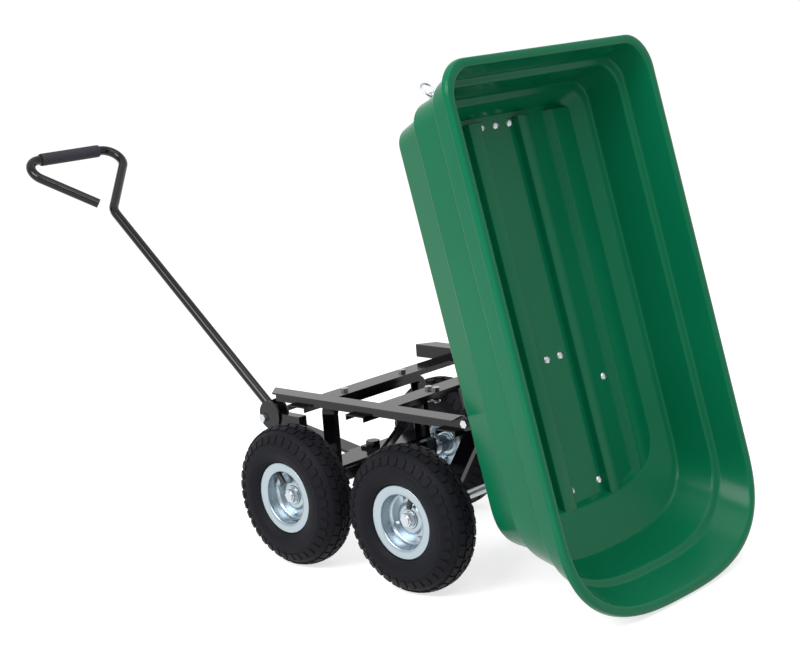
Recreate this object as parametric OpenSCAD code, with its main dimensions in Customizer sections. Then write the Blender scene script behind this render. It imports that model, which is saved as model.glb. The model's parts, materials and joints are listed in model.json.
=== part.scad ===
// Four-wheeled garden cart with a tipping plastic tub, shown with the tub tipped back to empty it.
// +X points forward along the pull handle, +Y to the left, +Z up. Sizes are in millimetres.

/* [Wheels] */
// Tyre outer diameter
tyre_d = 260; // [240:1:262]
// Tyre width
tyre_w = 80; // [70:1:88]
// Distance from the rear axle to the kingpin
wheelbase = 276; // [268:1:320]
// Distance between the middles of a left and a right tyre
track = 398; // [396:1:430]
// Radius of the rim flange
rim_flange_r = 65.5; // [62:0.5:68]
// Radius of the seat that the tyre bead sits on
rim_seat_r = 50; // [48:0.5:54]
// Width of the rim over its flanges
rim_w = 58; // [52:1:62]
// Thickness of the pressed rim sheet
rim_t = 2; // [1.5:0.1:3]
// Radius of the circle of rim bolts
rim_bolt_r = 38; // [36:0.5:40]
// Diameter of the axle rods
axle_d = 16; // [12:1:18]
// Length of a wheel hub
hub_l = 40; // [36:1:46]
// How far a hub reaches out from the middle of its wheel
hub_out = 7; // [6.5:0.5:12]
// Outer diameter of a hub tube
hub_d = 34; // [32:1:36]
// Width of one wheel bearing
bearing_w = 9; // [7:1:12]
// Depth of the grooves round a tyre
groove_h = 2.5; // [2:0.5:4]
// Width of a groove round a tyre
groove_w = 3; // [2:0.5:5]

/* [Chassis] */
// Place of the rear axle along X
rear_axle_x = -383.3; // [-410:0.1:-370]
// Height of the top of the rails
rail_top_z = 323; // [316:1:330]
// Height of a rail's upright web
rail_h = 25; // [24:1:30]
// Width of a rail's outward flange
rail_flange_w = 33; // [28:1:36]
// Sheet thickness of the rails
rail_t = 3; // [2:0.5:4]
// Distance of a rail's inner face from the mid-plane
rail_y = 188.5; // [186:0.5:194]
// Front end of the rails, ahead of the rear axle
rail_front = 323; // [310:1:340]
// Width of the cross bars
bar_w = 44; // [40:1:46]
// Height of the cross bars
bar_h = 10; // [8:0.5:12]
// Sheet thickness of the cross bars
bar_t = 2.5; // [2:0.5:3]
// Half length of the cross bars
bar_y = 203; // [198:1:214]
// Middle of the front cross bar, ahead of the rear axle
front_bar_x = 260; // [256:1:264]
// Middle of the mid cross bar, ahead of the rear axle
mid_bar_x = 114; // [100:1:130]
// Middle of the rear cross bar, ahead of the rear axle
rear_bar_x = -94; // [-98:1:-80]
// Half width of the arches, over their legs
arch_y = 126; // [118:1:134]
// Width of the arches' channel section
arch_w = 30; // [26:1:32]
// Depth of the arches' flanges
arch_flange = 12; // [10:1:14]
// Sheet thickness of the arches
arch_t = 3; // [2.5:0.5:4]
// Outer corner radius of the front arch
arch_r = 25; // [16:1:34]
// Thickness of the lower plate
plate_t = 6; // [4:0.5:8]
// Width of the diagonal stay
stay_w = 25; // [20:1:30]
// Thickness of the diagonal stay
stay_t = 5; // [4:0.5:6]

/* [Front gear] */
// Angle that the front gear is turned to at rest, to the left when positive
steer_rest = -2.5; // [-2.5:0.5:0]
// Width of the axle beam
beam_w = 36; // [36:1:42]
// Height of the axle beam's top above the axle
beam_rise = 22; // [22:0.5:26]
// Sheet thickness of the axle beam
beam_t = 3; // [2.5:0.5:3.5]
// Half length of the axle beam
beam_y = 150; // [140:1:156]
// Diameter of the kingpin
kingpin_d = 16; // [12:1:18]
// Width of the tongue strap
tongue_w = 36; // [30:1:40]
// Thickness of the tongue strap
tongue_t = 6; // [5:0.5:8]
// Distance from the kingpin to the handle's pivot
pivot_x = 296; // [280:1:330]
// Height of the handle's pivot
pivot_z = 191; // [186:1:200]
// Width of the block that carries the pivot
block_w = 19.4; // [16:0.2:24]
// Height of the block that carries the pivot
block_h = 24; // [20:1:26]
// Diameter of the pivot bolt
pivot_d = 10; // [8:1:12]

/* [Handle] */
// Angle of the handle above level at rest
handle_angle = 39; // [30:1:50]
// Diameter of the handle tube
tube_d = 20; // [18:0.5:22]
// Wall of the handle tube
tube_wall = 1.5; // [1:0.1:2]
// Distance of the tube's axis above the pivot
tube_offset = 20; // [20:0.5:24]
// Distance along the shaft from the pivot to the kink
kink_t = 604; // [560:1:640]
// Distance along the shaft from the pivot to the grip's axis
grip_t = 784; // [770:1:800]
// Angle between the shaft and a leg of the loop
loop_angle = 40.6; // [38:0.1:43]
// Bend radius of the loop's two outer corners
loop_r = 34; // [28:1:38]
// Length of the grip sleeve
grip_l = 150; // [120:1:152]
// Diameter of the grip sleeve
grip_d = 27; // [25:0.5:32]
// Radius of the knuckle's round cheek plates
cheek_r = 29; // [27:1:32]
// Thickness of a cheek plate
cheek_t = 4; // [3:0.5:5]

/* [Tub] */
// Angle that the tub is tipped back to at rest
tip_angle = 76.5; // [70:0.5:78]
// Place of the tub's hinge ahead of the rear axle
hinge_x = -130; // [-134:1:-126]
// Diameter of the hinge bolts
hinge_d = 8; // [8:1:12]
// Distance along the tub from its head rim to the hinge
hinge_s = 565; // [540:1:580]
// Length of the tub over its rim
tub_l = 930; // [900:1:931]
// Width of the tub over its rim
tub_w = 542; // [520:1:560]
// Depth of the tub over all
tub_depth = 157; // [152:1:170]
// Wall thickness of the tub
tub_wall = 4; // [3:0.5:5]
// Width of the rolled rim
rim_roll_w = 16; // [14:1:20]
// Height of the rolled rim's outer skirt
rim_roll_h = 14; // [12:1:20]
// Depth of the upper wall, from the rim to the first ledge
tier_1 = 54; // [48:1:62]
// Depth of the middle wall's foot, at the second ledge
tier_2 = 122; // [108:1:124]
// How much a tier's side wall leans in
side_draft = 9; // [6:0.5:11]
// Width of a ledge at the sides
side_ledge = 12; // [8:0.5:15]
// How much a tier's head wall leans in
head_draft = 11; // [8:0.5:14]
// Width of a ledge at the head
head_ledge = 12; // [8:0.5:15]
// How much a tier's tail wall leans in
tail_draft = 34; // [28:1:36]
// Width of a ledge at the tail
tail_ledge = 12; // [10:1:18]
// How much the lowest wall leans in at the sides
side_foot = 24; // [18:1:28]
// How much the lowest wall leans in at the head
head_foot = 12; // [8:1:16]
// How much the lowest wall leans in at the tail
tail_foot = 66; // [56:1:70]
// How far out on the rail the base skirt stands
base_over = 8.5; // [7:0.5:12]
// How much the base skirt leans in at the head
base_head = 16; // [10:1:18]
// How much the base skirt leans in at the tail
base_tail = 20; // [14:1:40]
// Radius of the rim's head corners
head_r = 60; // [52:1:70]
// Length of the rim's bowed tail
tail_bow = 195; // [180:1:205]
// Height of the floor ribs
rib_h = 12; // [8:1:16]
// Middle of a floor rib, from the mid-plane
rib_y = 64; // [58:1:70]
// Width of a floor rib at its foot
rib_w = 36; // [30:1:44]
// How far the lowered floor stands above the rails
bearer_lift = 39; // [30:1:42]
// Depth of the bearers under the floor
bearer_h = 64; // [50:1:64]
// Width of the bearers
bearer_w = 50; // [46:1:50]
// Sheet thickness of the bearers and brackets
bracket_t = 3; // [2:0.5:4]

/* [Latch] */
// Angle that the latch lever swings through to lock
latch_swing = 25; // [22:1:28]
// Length of the latch lever's hand arm
latch_arm = 120; // [90:1:130]
// Thickness of the latch lever
latch_t = 6; // [4:0.5:8]
// Radius of the wire pull loop
loop_wire_r = 14; // [11:0.5:18]
// Diameter of the pull loop's wire
loop_wire_d = 4; // [3:0.5:5]

/* [Fasteners] */
// Diameter of the frame bolts
frame_bolt_d = 8; // [6:1:10]
// Diameter of the tub and rim bolts
small_bolt_d = 6; // [5:1:8]

/* [Hidden] */
$fn = 64;

// Colours
black_paint = [0.09, 0.09, 0.1];
zinc = [0.72, 0.73, 0.75];
rubber_black = [0.12, 0.12, 0.12];
tub_green = [0.16, 0.42, 0.2];
foam_black = [0.08, 0.08, 0.08];

// Clearances
run = 0.05;      // radial, between a shaft and the hole it turns in
seat = 0.05;     // radial, between pieces that are fixed together
hole = 0.2;      // radial, around a bolt's shank
gap = 0.3;       // between faces that slide past each other
through = 1;     // how far a cut runs past a face

// Wheel places and profile
tyre_r = tyre_d / 2;
axle_r = axle_d / 2;
wheel_y = track / 2;
hub_r = hub_d / 2;
bearing_r = axle_r + 5;
flange_z = rim_w / 2;
disc_foot = hub_r + 11;
disc_rim = rim_seat_r - 4;
dish_h = 4;
bead_gap = 0.2;
belly_rise = 24;
tyre_belly_r = rim_flange_r + belly_rise;
tyre_wall = 7;
tube_gap = 0.5;
tube_skin = 2;
tyre_power = 2.2;
groove_places = [8, 22.5];
valve_z = 14;
valve_d = 10;
valve_tip_r = 25;
front_valve_turn = 35;
rear_valve_turn = -20;

// Fastener proportions
function head_h(d) = 0.65 * d;
function nut_h(d) = 0.8 * d;
function bolt_head_r(d) = 0.9 * d;
washer_t = 2;
washer_r = axle_r + 6;
axle_tail = 2;
axle_nut_h = 7;
axle_nut_r = 12.5;

// Chassis heights
kingpin_head_r = 13.5;
bar_top_z = rail_top_z - rail_h;
bar_foot_z = bar_top_z - bar_h;
hinge_z = bar_top_z + rail_h / 2;
ear_r = rail_h / 2;
beam_top_z = tyre_r + beam_rise;
tongue_top_z = beam_top_z + tongue_t;
thrust_t = 2.7;
plate_z = tongue_top_z + gap + thrust_t;
plate_top_z = plate_z + plate_t;
stay_foot_z = plate_top_z + stay_t;
plate_edge = 2;
plate_nose = 24;
plate_back_x = min(front_bar_x - arch_w / 2, wheelbase - kingpin_head_r) - plate_edge;
plate_front_x = max(wheelbase + plate_nose, front_bar_x + arch_w / 2 + plate_edge);
frame_bolt_y = 78;
stay_bolt_x = 9;
rail_cut = 24;
rail_tail_cut = 6;
flange_tail_x = hinge_x + 8;

// Rear arch slope, from the axle up to the rear cross bar
rear_leg_dx = -rear_bar_x;
rear_leg_dz = bar_foot_z - arch_t - tyre_r;
rear_leg_lean = atan(rear_leg_dx / rear_leg_dz);
rear_leg_l = norm([rear_leg_dx, rear_leg_dz]);
rear_boss_r = axle_r + 6;

// Front gear
kingpin_r = kingpin_d / 2;
kingpin_head_h = 10;
kingpin_nut_h = 9;
tongue_tail = 30;
tongue_flat = 55;
tongue_back = 66;
block_l = 100;
tongue_end = pivot_x - tongue_back;
block_tail = pivot_x - block_l;
block_z = pivot_z - block_h / 2;

// Handle
tube_r = tube_d / 2;
tube_start = 16;
kink_r = 40;
kink_back = kink_r * tan(loop_angle / 2);
loop_corner_y = (grip_t - kink_t) * tan(loop_angle);
loop_turn = 90 + loop_angle;
loop_back = loop_r * tan(loop_turn / 2);
open_end_gap = 33;
bend_swell = 0.05;
bend_lap = 1;
cheek_t0 = -8;
cheek_n0 = 15;

// Tub: s runs along the tub from its head rim, depth down from its rim plane
floor_gap = 0.7;
floor_z = rail_top_z - hinge_z + floor_gap + bearer_lift;
hinge_depth = tub_depth + floor_z;
half_w = tub_w / 2;
inner_top = half_w - rim_roll_w;
floor_depth = tub_depth - tub_wall;
base_depth = tub_depth + bearer_lift;
bench_h = 12;
tier_3 = floor_depth - bench_h;
ledge_drop = 3;
floor_fillet = 8;
lip_edge = 3;
skirt_t = 3.5;
head_steps = 8;
tail_steps = 20;
corner_shrink = 0.4;
bow_shrink = 1.2;
tail_power = 2.8;
rib_lean = 2;
rib_top_w = rib_w - 2 * rib_lean;
bench_foot_y = 129;
bench_top_y = 141;
rib_head_s = 90;
rib_tail_s = 756;
bench_tail_s = 736;
bearer_head_s = 140;
bearer_tail_s = 740;
bearer_y = 34;
bearer_bolts = [[503, 18], [727, 38]];
bracket_bolt_s = 562;
bracket_bolt_y = 118;
bracket_y = rail_y - 1;
bracket_ear_t = 4;
bracket_in_y = 104;
bracket_back = 34;
bracket_front = 58;

// Latch, placed from the hinge with the tub lowered
latch_ahead = 30;
latch_x = front_bar_x + bar_w / 2 + latch_ahead - hinge_x;
latch_drop = 7;
latch_eye_r = 9;
latch_pin_d = 8;
latch_plate_w = 104;
latch_bolt_x = 24;
latch_bolt_y = 37;
latch_plate_front = 40;
hook_gap = 1;
hook_w = 10;
hook_toe = 6;
hook_toe_h = 9;
hook_under = 1.5;
latch_arm_w = 14;
latch_arm_angle = 54;

// Places and directions

module from_rear_axle() {
    translate([rear_axle_x, 0, 0]) children();
}

module front_gear() {
    from_rear_axle() translate([wheelbase, 0, 0]) rotate([0, 0, steer_rest]) children();
}

module handle_frame() {
    front_gear() translate([pivot_x, 0, pivot_z]) rotate([0, -handle_angle, 0]) children();
}

// Children are drawn with the tub lowered, measured from the hinge axis
module tub_frame() {
    from_rear_axle() translate([hinge_x, 0, hinge_z]) rotate([0, -tip_angle, 0]) children();
}

module latch_frame() {
    tub_frame() translate([latch_x, 0, -latch_drop]) rotate([0, -latch_swing, 0]) children();
}

module along_y() {
    rotate([-90, 0, 0]) children();
}

module both_sides() {
    children();
    mirror([0, 1, 0]) children();
}

// A profile in X and Z, drawn w wide about the mid-plane
module across(w) {
    translate([0, w / 2, 0]) rotate([90, 0, 0]) linear_extrude(w) children();
}

module block(x0, x1, y0, y1, z0, z1) {
    translate([x0, y0, z0]) cube([x1 - x0, y1 - y0, z1 - z0]);
}

module ring(r_in, r_out, z0, z1) {
    difference() {
        translate([0, 0, z0]) cylinder(r = r_out, h = z1 - z0);
        translate([0, 0, z0 - through]) cylinder(r = r_in, h = z1 - z0 + 2 * through);
    }
}

module hex(r, h) {
    cylinder(r = r, h = h, $fn = 6);
}

// Bolt along Z: its head sits on top_z, its nut hangs under nut_z
module bolt(d, top_z, nut_z) {
    shank_end = nut_z - nut_h(d) - 0.3 * d;
    translate([0, 0, top_z]) hex(bolt_head_r(d), head_h(d));
    translate([0, 0, shank_end]) cylinder(d = d, h = top_z - shank_end);
    translate([0, 0, nut_z - nut_h(d)]) hex(bolt_head_r(d), nut_h(d));
}

// Bolt with a low round head, made as a turned profile
module dome_bolt(d, top_z, nut_z) {
    shank_end = nut_z - nut_h(d) - 0.3 * d;
    cap_r = 1.2 * d;
    translate([0, 0, top_z])
        rotate_extrude() polygon([[0, 0], [cap_r, 0], [0.8 * cap_r, 0.35 * d], [0.4 * cap_r, 0.55 * d], [0, 0.6 * d]]);
    translate([0, 0, shank_end]) cylinder(d = d, h = top_z - shank_end);
    translate([0, 0, nut_z - nut_h(d)]) hex(bolt_head_r(d), nut_h(d));
}

module bolt_hole(d, z0, z1) {
    translate([0, 0, z0 - through]) cylinder(r = d / 2 + hole, h = z1 - z0 + 2 * through);
}

// Chassis

module rail() {
    flange_y = rail_y + rail_flange_w;
    web_y = rail_y + rail_t;
    difference() {
        union() {
            block(hinge_x, rail_front, rail_y, web_y, bar_top_z, rail_top_z);
            translate([hinge_x, rail_y, hinge_z]) along_y() cylinder(r = ear_r, h = rail_t);
            translate([0, 0, rail_top_z - rail_t])
                linear_extrude(rail_t) polygon([
                    [flange_tail_x, rail_y], [rail_front, rail_y], [rail_front, web_y],
                    [rail_front - rail_cut, flange_y], [flange_tail_x - rail_tail_cut, flange_y], [flange_tail_x, web_y]
                ]);
        }
        translate([hinge_x, rail_y - through, hinge_z])
            along_y() cylinder(r = hinge_d / 2 + run, h = rail_t + 2 * through);
    }
}

module left_rail() {
    color(black_paint) from_rear_axle() rail();
}

module right_rail() {
    color(black_paint) from_rear_axle() mirror([0, 1, 0]) rail();
}

// A shallow channel across the cart, open below, drilled at each [x, y] from its middle
module cross_bar(x, holes) {
    from_rear_axle() translate([x, 0, 0]) difference() {
        block(-bar_w / 2, bar_w / 2, -bar_y, bar_y, bar_foot_z, bar_top_z);
        block(-bar_w / 2 + bar_t, bar_w / 2 - bar_t, -bar_y - through, bar_y + through,
              bar_foot_z - through, bar_top_z - bar_t);
        for (p = holes)
            translate([p[0], p[1], 0]) bolt_hole(frame_bolt_d, bar_foot_z, bar_top_z);
    }
}

pair_holes = [[0, frame_bolt_y], [0, -frame_bolt_y]];
stay_holes = [[stay_bolt_x, 0], [-stay_bolt_x, 0]];

module front_cross_bar() {
    color(black_paint) cross_bar(front_bar_x, pair_holes);
}

module mid_cross_bar() {
    color(black_paint) cross_bar(mid_bar_x, stay_holes);
}

module rear_cross_bar() {
    color(black_paint) cross_bar(rear_bar_x, pair_holes);
}

// Outline of the arch in Y and Z, set in by inset from its outer face
module arch_outline(inset) {
    r = arch_r - inset;
    w = arch_y - inset;
    top = bar_foot_z - inset;
    translate([-w, plate_top_z - inset]) square([2 * w, top - r - plate_top_z + inset]);
    translate([-w + r, plate_top_z]) square([2 * (w - r), top - plate_top_z]);
    for (side = [-1, 1])
        translate([side * (w - r), top - r]) circle(r = r);
}

// The arch's band, from its outer face to depth, drawn wide along X from x0
module arch_band(x0, wide, depth) {
    translate([x0, 0, 0]) rotate([90, 0, 90]) linear_extrude(wide) difference() {
        arch_outline(0);
        arch_outline(depth);
    }
}

module front_arch() {
    half = arch_w / 2;
    color(black_paint) from_rear_axle() translate([front_bar_x, 0, 0]) difference() {
        union() {
            arch_band(-half, arch_w, arch_t);
            arch_band(-half, arch_t, arch_flange);
            arch_band(half - arch_t, arch_t, arch_flange);
        }
        for (p = pair_holes)
            translate([p[0], p[1], 0]) bolt_hole(frame_bolt_d, bar_foot_z - arch_t, bar_foot_z);
    }
}

module lower_plate() {
    color(black_paint) from_rear_axle() difference() {
        block(plate_back_x, plate_front_x, -arch_y, arch_y, plate_z, plate_top_z);
        translate([wheelbase, 0, plate_z - through]) cylinder(r = kingpin_r + hole, h = plate_t + 2 * through);
    }
}

module stay() {
    back = mid_bar_x - bar_w / 2;
    knee = mid_bar_x + bar_w / 2;
    foot = plate_back_x - 2;
    color(black_paint) from_rear_axle() difference() {
        across(stay_w) polygon([
            [back, bar_foot_z], [knee, bar_foot_z], [foot + stay_t, stay_foot_z], [plate_front_x - 4, stay_foot_z],
            [plate_front_x - 4, plate_top_z], [foot, plate_top_z], [knee - stay_t, bar_foot_z - stay_t],
            [back, bar_foot_z - stay_t]
        ]);
        for (p = stay_holes)
            translate([mid_bar_x + p[0], p[1], 0]) bolt_hole(frame_bolt_d, bar_foot_z - stay_t, bar_foot_z);
        translate([wheelbase, 0, plate_top_z - through]) cylinder(r = kingpin_r + hole, h = stay_t + 2 * through);
    }
}

// One inclined channel leg on the left, from the axle to the plate under the rear cross bar
module rear_leg() {
    half = arch_w / 2;
    inner = arch_y - arch_flange;
    over = arch_w;
    translate([0, 0, tyre_r]) rotate([0, -rear_leg_lean, 0]) {
        block(-half, half, arch_y - arch_t, arch_y, 0, rear_leg_l + over);
        block(-half, -half + arch_t, inner, arch_y, 0, rear_leg_l + over);
        block(half - arch_t, half, inner, arch_y, 0, rear_leg_l + over);
    }
}

module rear_arch() {
    top = bar_foot_z - arch_t;
    color(black_paint) from_rear_axle() difference() {
        union() {
            block(rear_bar_x - bar_w / 2, rear_bar_x + bar_w / 2, -arch_y, arch_y, top, bar_foot_z);
            both_sides() {
                intersection() {
                    rear_leg();
                    block(-tyre_d, tyre_d, 0, tyre_d, 0, top + arch_t / 2);
                }
                translate([0, arch_y - arch_flange, tyre_r]) along_y() cylinder(r = rear_boss_r, h = arch_flange);
            }
        }
        translate([0, -arch_y - through, tyre_r])
            along_y() cylinder(r = axle_r + seat, h = 2 * (arch_y + through));
        for (p = pair_holes)
            translate([rear_bar_x + p[0], p[1], 0]) bolt_hole(frame_bolt_d, top, bar_foot_z);
    }
}

// Axles and what holds the wheels on them, drawn about the axle's middle

hub_out_y = wheel_y + hub_out;
hub_in_y = hub_out_y - hub_l;
axle_half = hub_out_y + gap + washer_t + axle_nut_h + axle_tail;

module axle() {
    translate([0, -axle_half, tyre_r]) along_y() cylinder(r = axle_r, h = 2 * axle_half);
}

module axle_spacers(inner_y) {
    both_sides() translate([0, 0, tyre_r]) along_y() ring(axle_r + seat, axle_r + 4, inner_y, hub_in_y - gap);
}

module axle_nuts() {
    both_sides() translate([0, hub_out_y + gap, tyre_r]) along_y() difference() {
        union() {
            cylinder(r = washer_r, h = washer_t);
            translate([0, 0, washer_t]) hex(axle_nut_r, axle_nut_h);
        }
        translate([0, 0, -through]) cylinder(r = axle_r + seat, h = washer_t + axle_nut_h + 2 * through);
    }
}

module rear_axle() {
    color(zinc) from_rear_axle() axle();
}

module rear_axle_spacers() {
    color(zinc) from_rear_axle() axle_spacers(arch_y);
}

module rear_axle_nuts() {
    color(zinc) from_rear_axle() axle_nuts();
}

module front_axle() {
    color(zinc) front_gear() axle();
}

module front_axle_spacers() {
    color(zinc) front_gear() axle_spacers(beam_y);
}

module front_axle_nuts() {
    color(zinc) front_gear() axle_nuts();
}

module frame_bolts() {
    color(zinc) from_rear_axle() {
        for (p = pair_holes) {
            translate([front_bar_x + p[0], p[1], 0]) bolt(frame_bolt_d, bar_top_z, bar_foot_z - arch_t);
            translate([rear_bar_x + p[0], p[1], 0]) bolt(frame_bolt_d, bar_top_z, bar_foot_z - arch_t);
        }
        for (p = stay_holes)
            translate([mid_bar_x + p[0], p[1], 0]) bolt(frame_bolt_d, bar_top_z, bar_foot_z - stay_t);
    }
}

// The tub hinges on these: head outside the rail, nut inside the bracket's ear
module hinge_bolts() {
    color(zinc) from_rear_axle() both_sides()
        translate([hinge_x, 0, hinge_z]) along_y()
            bolt(hinge_d, rail_y + rail_t, bracket_y - bracket_ear_t - gap);
}

module kingpin() {
    nut_top = beam_top_z - beam_t - gap;
    color(black_paint) from_rear_axle() translate([wheelbase, 0, 0]) {
        translate([0, 0, stay_foot_z]) hex(kingpin_head_r, kingpin_head_h);
        translate([0, 0, nut_top - kingpin_nut_h]) cylinder(r = kingpin_r, h = stay_foot_z - nut_top + kingpin_nut_h);
        translate([0, 0, nut_top - kingpin_nut_h]) hex(kingpin_head_r, kingpin_nut_h);
        ring(kingpin_r + hole, kingpin_r + 12, plate_z - thrust_t, plate_z);
    }
}

// Steered front gear

module axle_beam() {
    half = beam_w / 2;
    foot = tyre_r - 8;
    color(black_paint) front_gear() difference() {
        union() {
            block(-half, half, -beam_y, beam_y, beam_top_z - beam_t, beam_top_z);
            for (side = [-1, 1])
                translate([side * (half - beam_t / 2), 0, 0])
                    block(-beam_t / 2, beam_t / 2, -beam_y, beam_y, tyre_r, beam_top_z);
            both_sides() block(-half, half, beam_y - 2 * beam_t, beam_y, foot - beam_t, beam_top_z);
        }
        translate([0, -beam_y - through, tyre_r]) along_y() cylinder(r = axle_r + seat, h = 2 * (beam_y + through));
        translate([0, 0, beam_top_z - beam_t - through])
            cylinder(r = kingpin_r + run, h = beam_t + 2 * through);
    }
}

module tongue() {
    color(black_paint) front_gear() difference() {
        union() {
            across(tongue_w) polygon([
                [-tongue_tail, beam_top_z], [tongue_flat, beam_top_z], [tongue_end, block_z],
                [tongue_end, block_z + tongue_t], [tongue_flat, tongue_top_z], [-tongue_tail, tongue_top_z]
            ]);
            block(block_tail, pivot_x, -block_w / 2, block_w / 2, block_z, block_z + block_h);
            translate([pivot_x, -block_w / 2, pivot_z]) along_y() cylinder(r = block_h / 2, h = block_w);
        }
        translate([0, 0, beam_top_z - through]) cylinder(r = kingpin_r + run, h = tongue_t + 2 * through);
        translate([pivot_x, -block_w / 2 - through, pivot_z])
            along_y() cylinder(r = pivot_d / 2 + seat, h = block_w + 2 * through);
    }
}

cheek_in_y = block_w / 2 + gap;
cheek_out_y = cheek_in_y + cheek_t;

module pivot_bolt() {
    color(zinc) front_gear() translate([pivot_x, 0, pivot_z]) along_y()
        bolt(pivot_d, cheek_out_y + gap, -cheek_out_y - gap);
}

// Pull handle: t runs up the shaft from the pivot, the loop lies in the plane of the shaft and Y

// A straight rod between two points [t, y], run on at its ends by lap_a and lap_b
module rod(a, b, r, lap_a, lap_b) {
    d = b - a;
    translate([a[0], a[1], 0]) rotate([0, 0, atan2(d[1], d[0])]) rotate([0, 90, 0])
        translate([0, 0, -lap_a]) cylinder(r = r, h = norm(d) + lap_a + lap_b);
}

// A bent rod about a centre [t, y], a hair thicker than the straights so that they meet cleanly
module bend(centre, radius, from_angle, turn, r) {
    translate([centre[0], centre[1], 0]) rotate([0, 0, from_angle])
        rotate_extrude(angle = turn) translate([radius, 0]) circle(r = r + bend_swell);
}

leg_dir = [cos(loop_angle), sin(loop_angle)];
kink_point = [kink_t, 0];
corner_point = [grip_t, loop_corner_y];
leg_top = corner_point - loop_back * leg_dir;
grip_end_y = loop_corner_y - loop_back;
open_end = kink_point + open_end_gap * leg_dir;

far_dir = [leg_dir[0], -leg_dir[1]];
far_top = [leg_top[0], -leg_top[1]];

// The handle's centre line as a rod of radius r, its two free ends run on by extra
module handle_path(r, extra) {
    kink_centre = [kink_t - kink_back, -kink_r];
    rod([tube_start, 0], [kink_t - kink_back, 0], r, extra, bend_lap);
    bend(kink_centre, kink_r, 90 - loop_angle, loop_angle, r);
    rod(kink_point + kink_back * far_dir, far_top, r, bend_lap, bend_lap);
    bend([grip_t - loop_r, -grip_end_y], loop_r, -loop_turn, loop_turn, r);
    rod([grip_t, -grip_end_y], [grip_t, grip_end_y], r, bend_lap, bend_lap);
    bend([grip_t - loop_r, grip_end_y], loop_r, 0, loop_turn, r);
    rod(open_end, leg_top, r, extra, bend_lap);
}

module handle_tube() {
    color(black_paint) handle_frame() translate([0, 0, tube_offset]) difference() {
        handle_path(tube_r, 0);
        handle_path(tube_r - tube_wall, through);
    }
}

module handle_grip() {
    half = grip_l / 2;
    round_off = 3;
    bore = tube_r + seat;
    color(foam_black) handle_frame() translate([grip_t, 0, tube_offset]) along_y()
        rotate_extrude() polygon([
            [bore, -half], [grip_d / 2 - round_off, -half], [grip_d / 2, -half + round_off],
            [grip_d / 2, half - round_off], [grip_d / 2 - round_off, half], [bore, half]
        ]);
}

module handle_cheeks() {
    color(black_paint) handle_frame() both_sides() difference() {
        translate([cheek_t0, cheek_in_y, cheek_n0]) along_y() cylinder(r = cheek_r, h = cheek_t);
        translate([0, cheek_in_y - through, 0]) along_y() cylinder(r = pivot_d / 2 + run, h = cheek_t + 2 * through);
    }
}

// Tub shell: each ring is [depth, half width, head s, tail s]

function tier_ring(depth, tier, lean, grow) = [
    depth,
    inner_top - tier * (side_draft + side_ledge) - lean * side_draft + grow,
    rim_roll_w + tier * (head_draft + head_ledge) + lean * head_draft - grow,
    tub_l - rim_roll_w - tier * (tail_draft + tail_ledge) - lean * tail_draft + grow
];

function rim_ring(depth, inset) = [depth, half_w - inset, inset, tub_l - inset];

// The foot of the lowest wall, set in by fillet
function foot_ring(depth, fillet, grow) = let (r = tier_ring(depth, 2, 0, grow))
    [depth, r[1] - side_foot - fillet, r[2] + head_foot + fillet, r[3] - tail_foot - fillet];

function floor_ring(depth, grow) = foot_ring(depth, floor_fillet, grow);

// The foot of the skirt under the floor, set in by inset
function base_ring(inset) = let (r = tier_ring(base_depth, 2, 0, tub_wall))
    [base_depth, rail_y + base_over - inset, r[2] + base_head + inset, r[3] - base_tail - inset];

shell_rings = [
    floor_ring(floor_depth, 0),
    foot_ring(tier_3, 0, 0),
    tier_ring(tier_2 + ledge_drop, 2, 0, 0),
    tier_ring(tier_2, 1, 1, 0),
    tier_ring(tier_1 + ledge_drop, 1, 0, 0),
    tier_ring(tier_1, 0, 1, 0),
    tier_ring(lip_edge, 0, 0, 0),
    rim_ring(0, rim_roll_w - lip_edge),
    rim_ring(0, lip_edge),
    rim_ring(lip_edge, 0),
    rim_ring(rim_roll_h, 0),
    rim_ring(rim_roll_h, skirt_t),
    rim_ring(skirt_t + 1, skirt_t),
    tier_ring(skirt_t + 1, 0, 0, tub_wall),
    tier_ring(tier_1 + tub_wall, 0, 1, tub_wall),
    tier_ring(tier_1 + ledge_drop + tub_wall, 1, 0, tub_wall),
    tier_ring(tier_2 + tub_wall, 1, 1, tub_wall),
    tier_ring(tier_2 + ledge_drop + tub_wall, 2, 0, tub_wall),
    base_ring(0),
    base_ring(tub_wall),
    tier_ring(tier_2 + ledge_drop + 2 * tub_wall, 2, 0, -tub_wall / 2),
    foot_ring(tier_3 + tub_wall, 0, tub_wall),
    floor_ring(tub_depth, tub_wall)
];

// Left half of a ring, from the middle of the head to the middle of the tail
function half_ring(g) = let (
    w = g[1],
    c = head_r - corner_shrink * (half_w - w),
    b = tail_bow - bow_shrink * (half_w - w)
) concat(
    [for (k = [0:head_steps]) let (a = 90 * k / head_steps) [g[2] + c * (1 - cos(a)), w - c * (1 - sin(a))]],
    [for (k = [0:tail_steps]) let (a = 90 * k / tail_steps) 
        [g[3] - b * (1 - pow(sin(a), 2 / tail_power)), w * pow(cos(a), 2 / tail_power)]]
);

half_n = head_steps + tail_steps + 2;
ring_n = 2 * half_n - 1;

function ring_points(g) = let (h = half_ring(g)) [
    for (k = [0:ring_n - 1]) let (p = k < half_n ? h[k] : h[ring_n - 1 - k])
        [hinge_s - p[0], k < half_n ? p[1] : -p[1], hinge_depth - g[0]]
];

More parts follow.
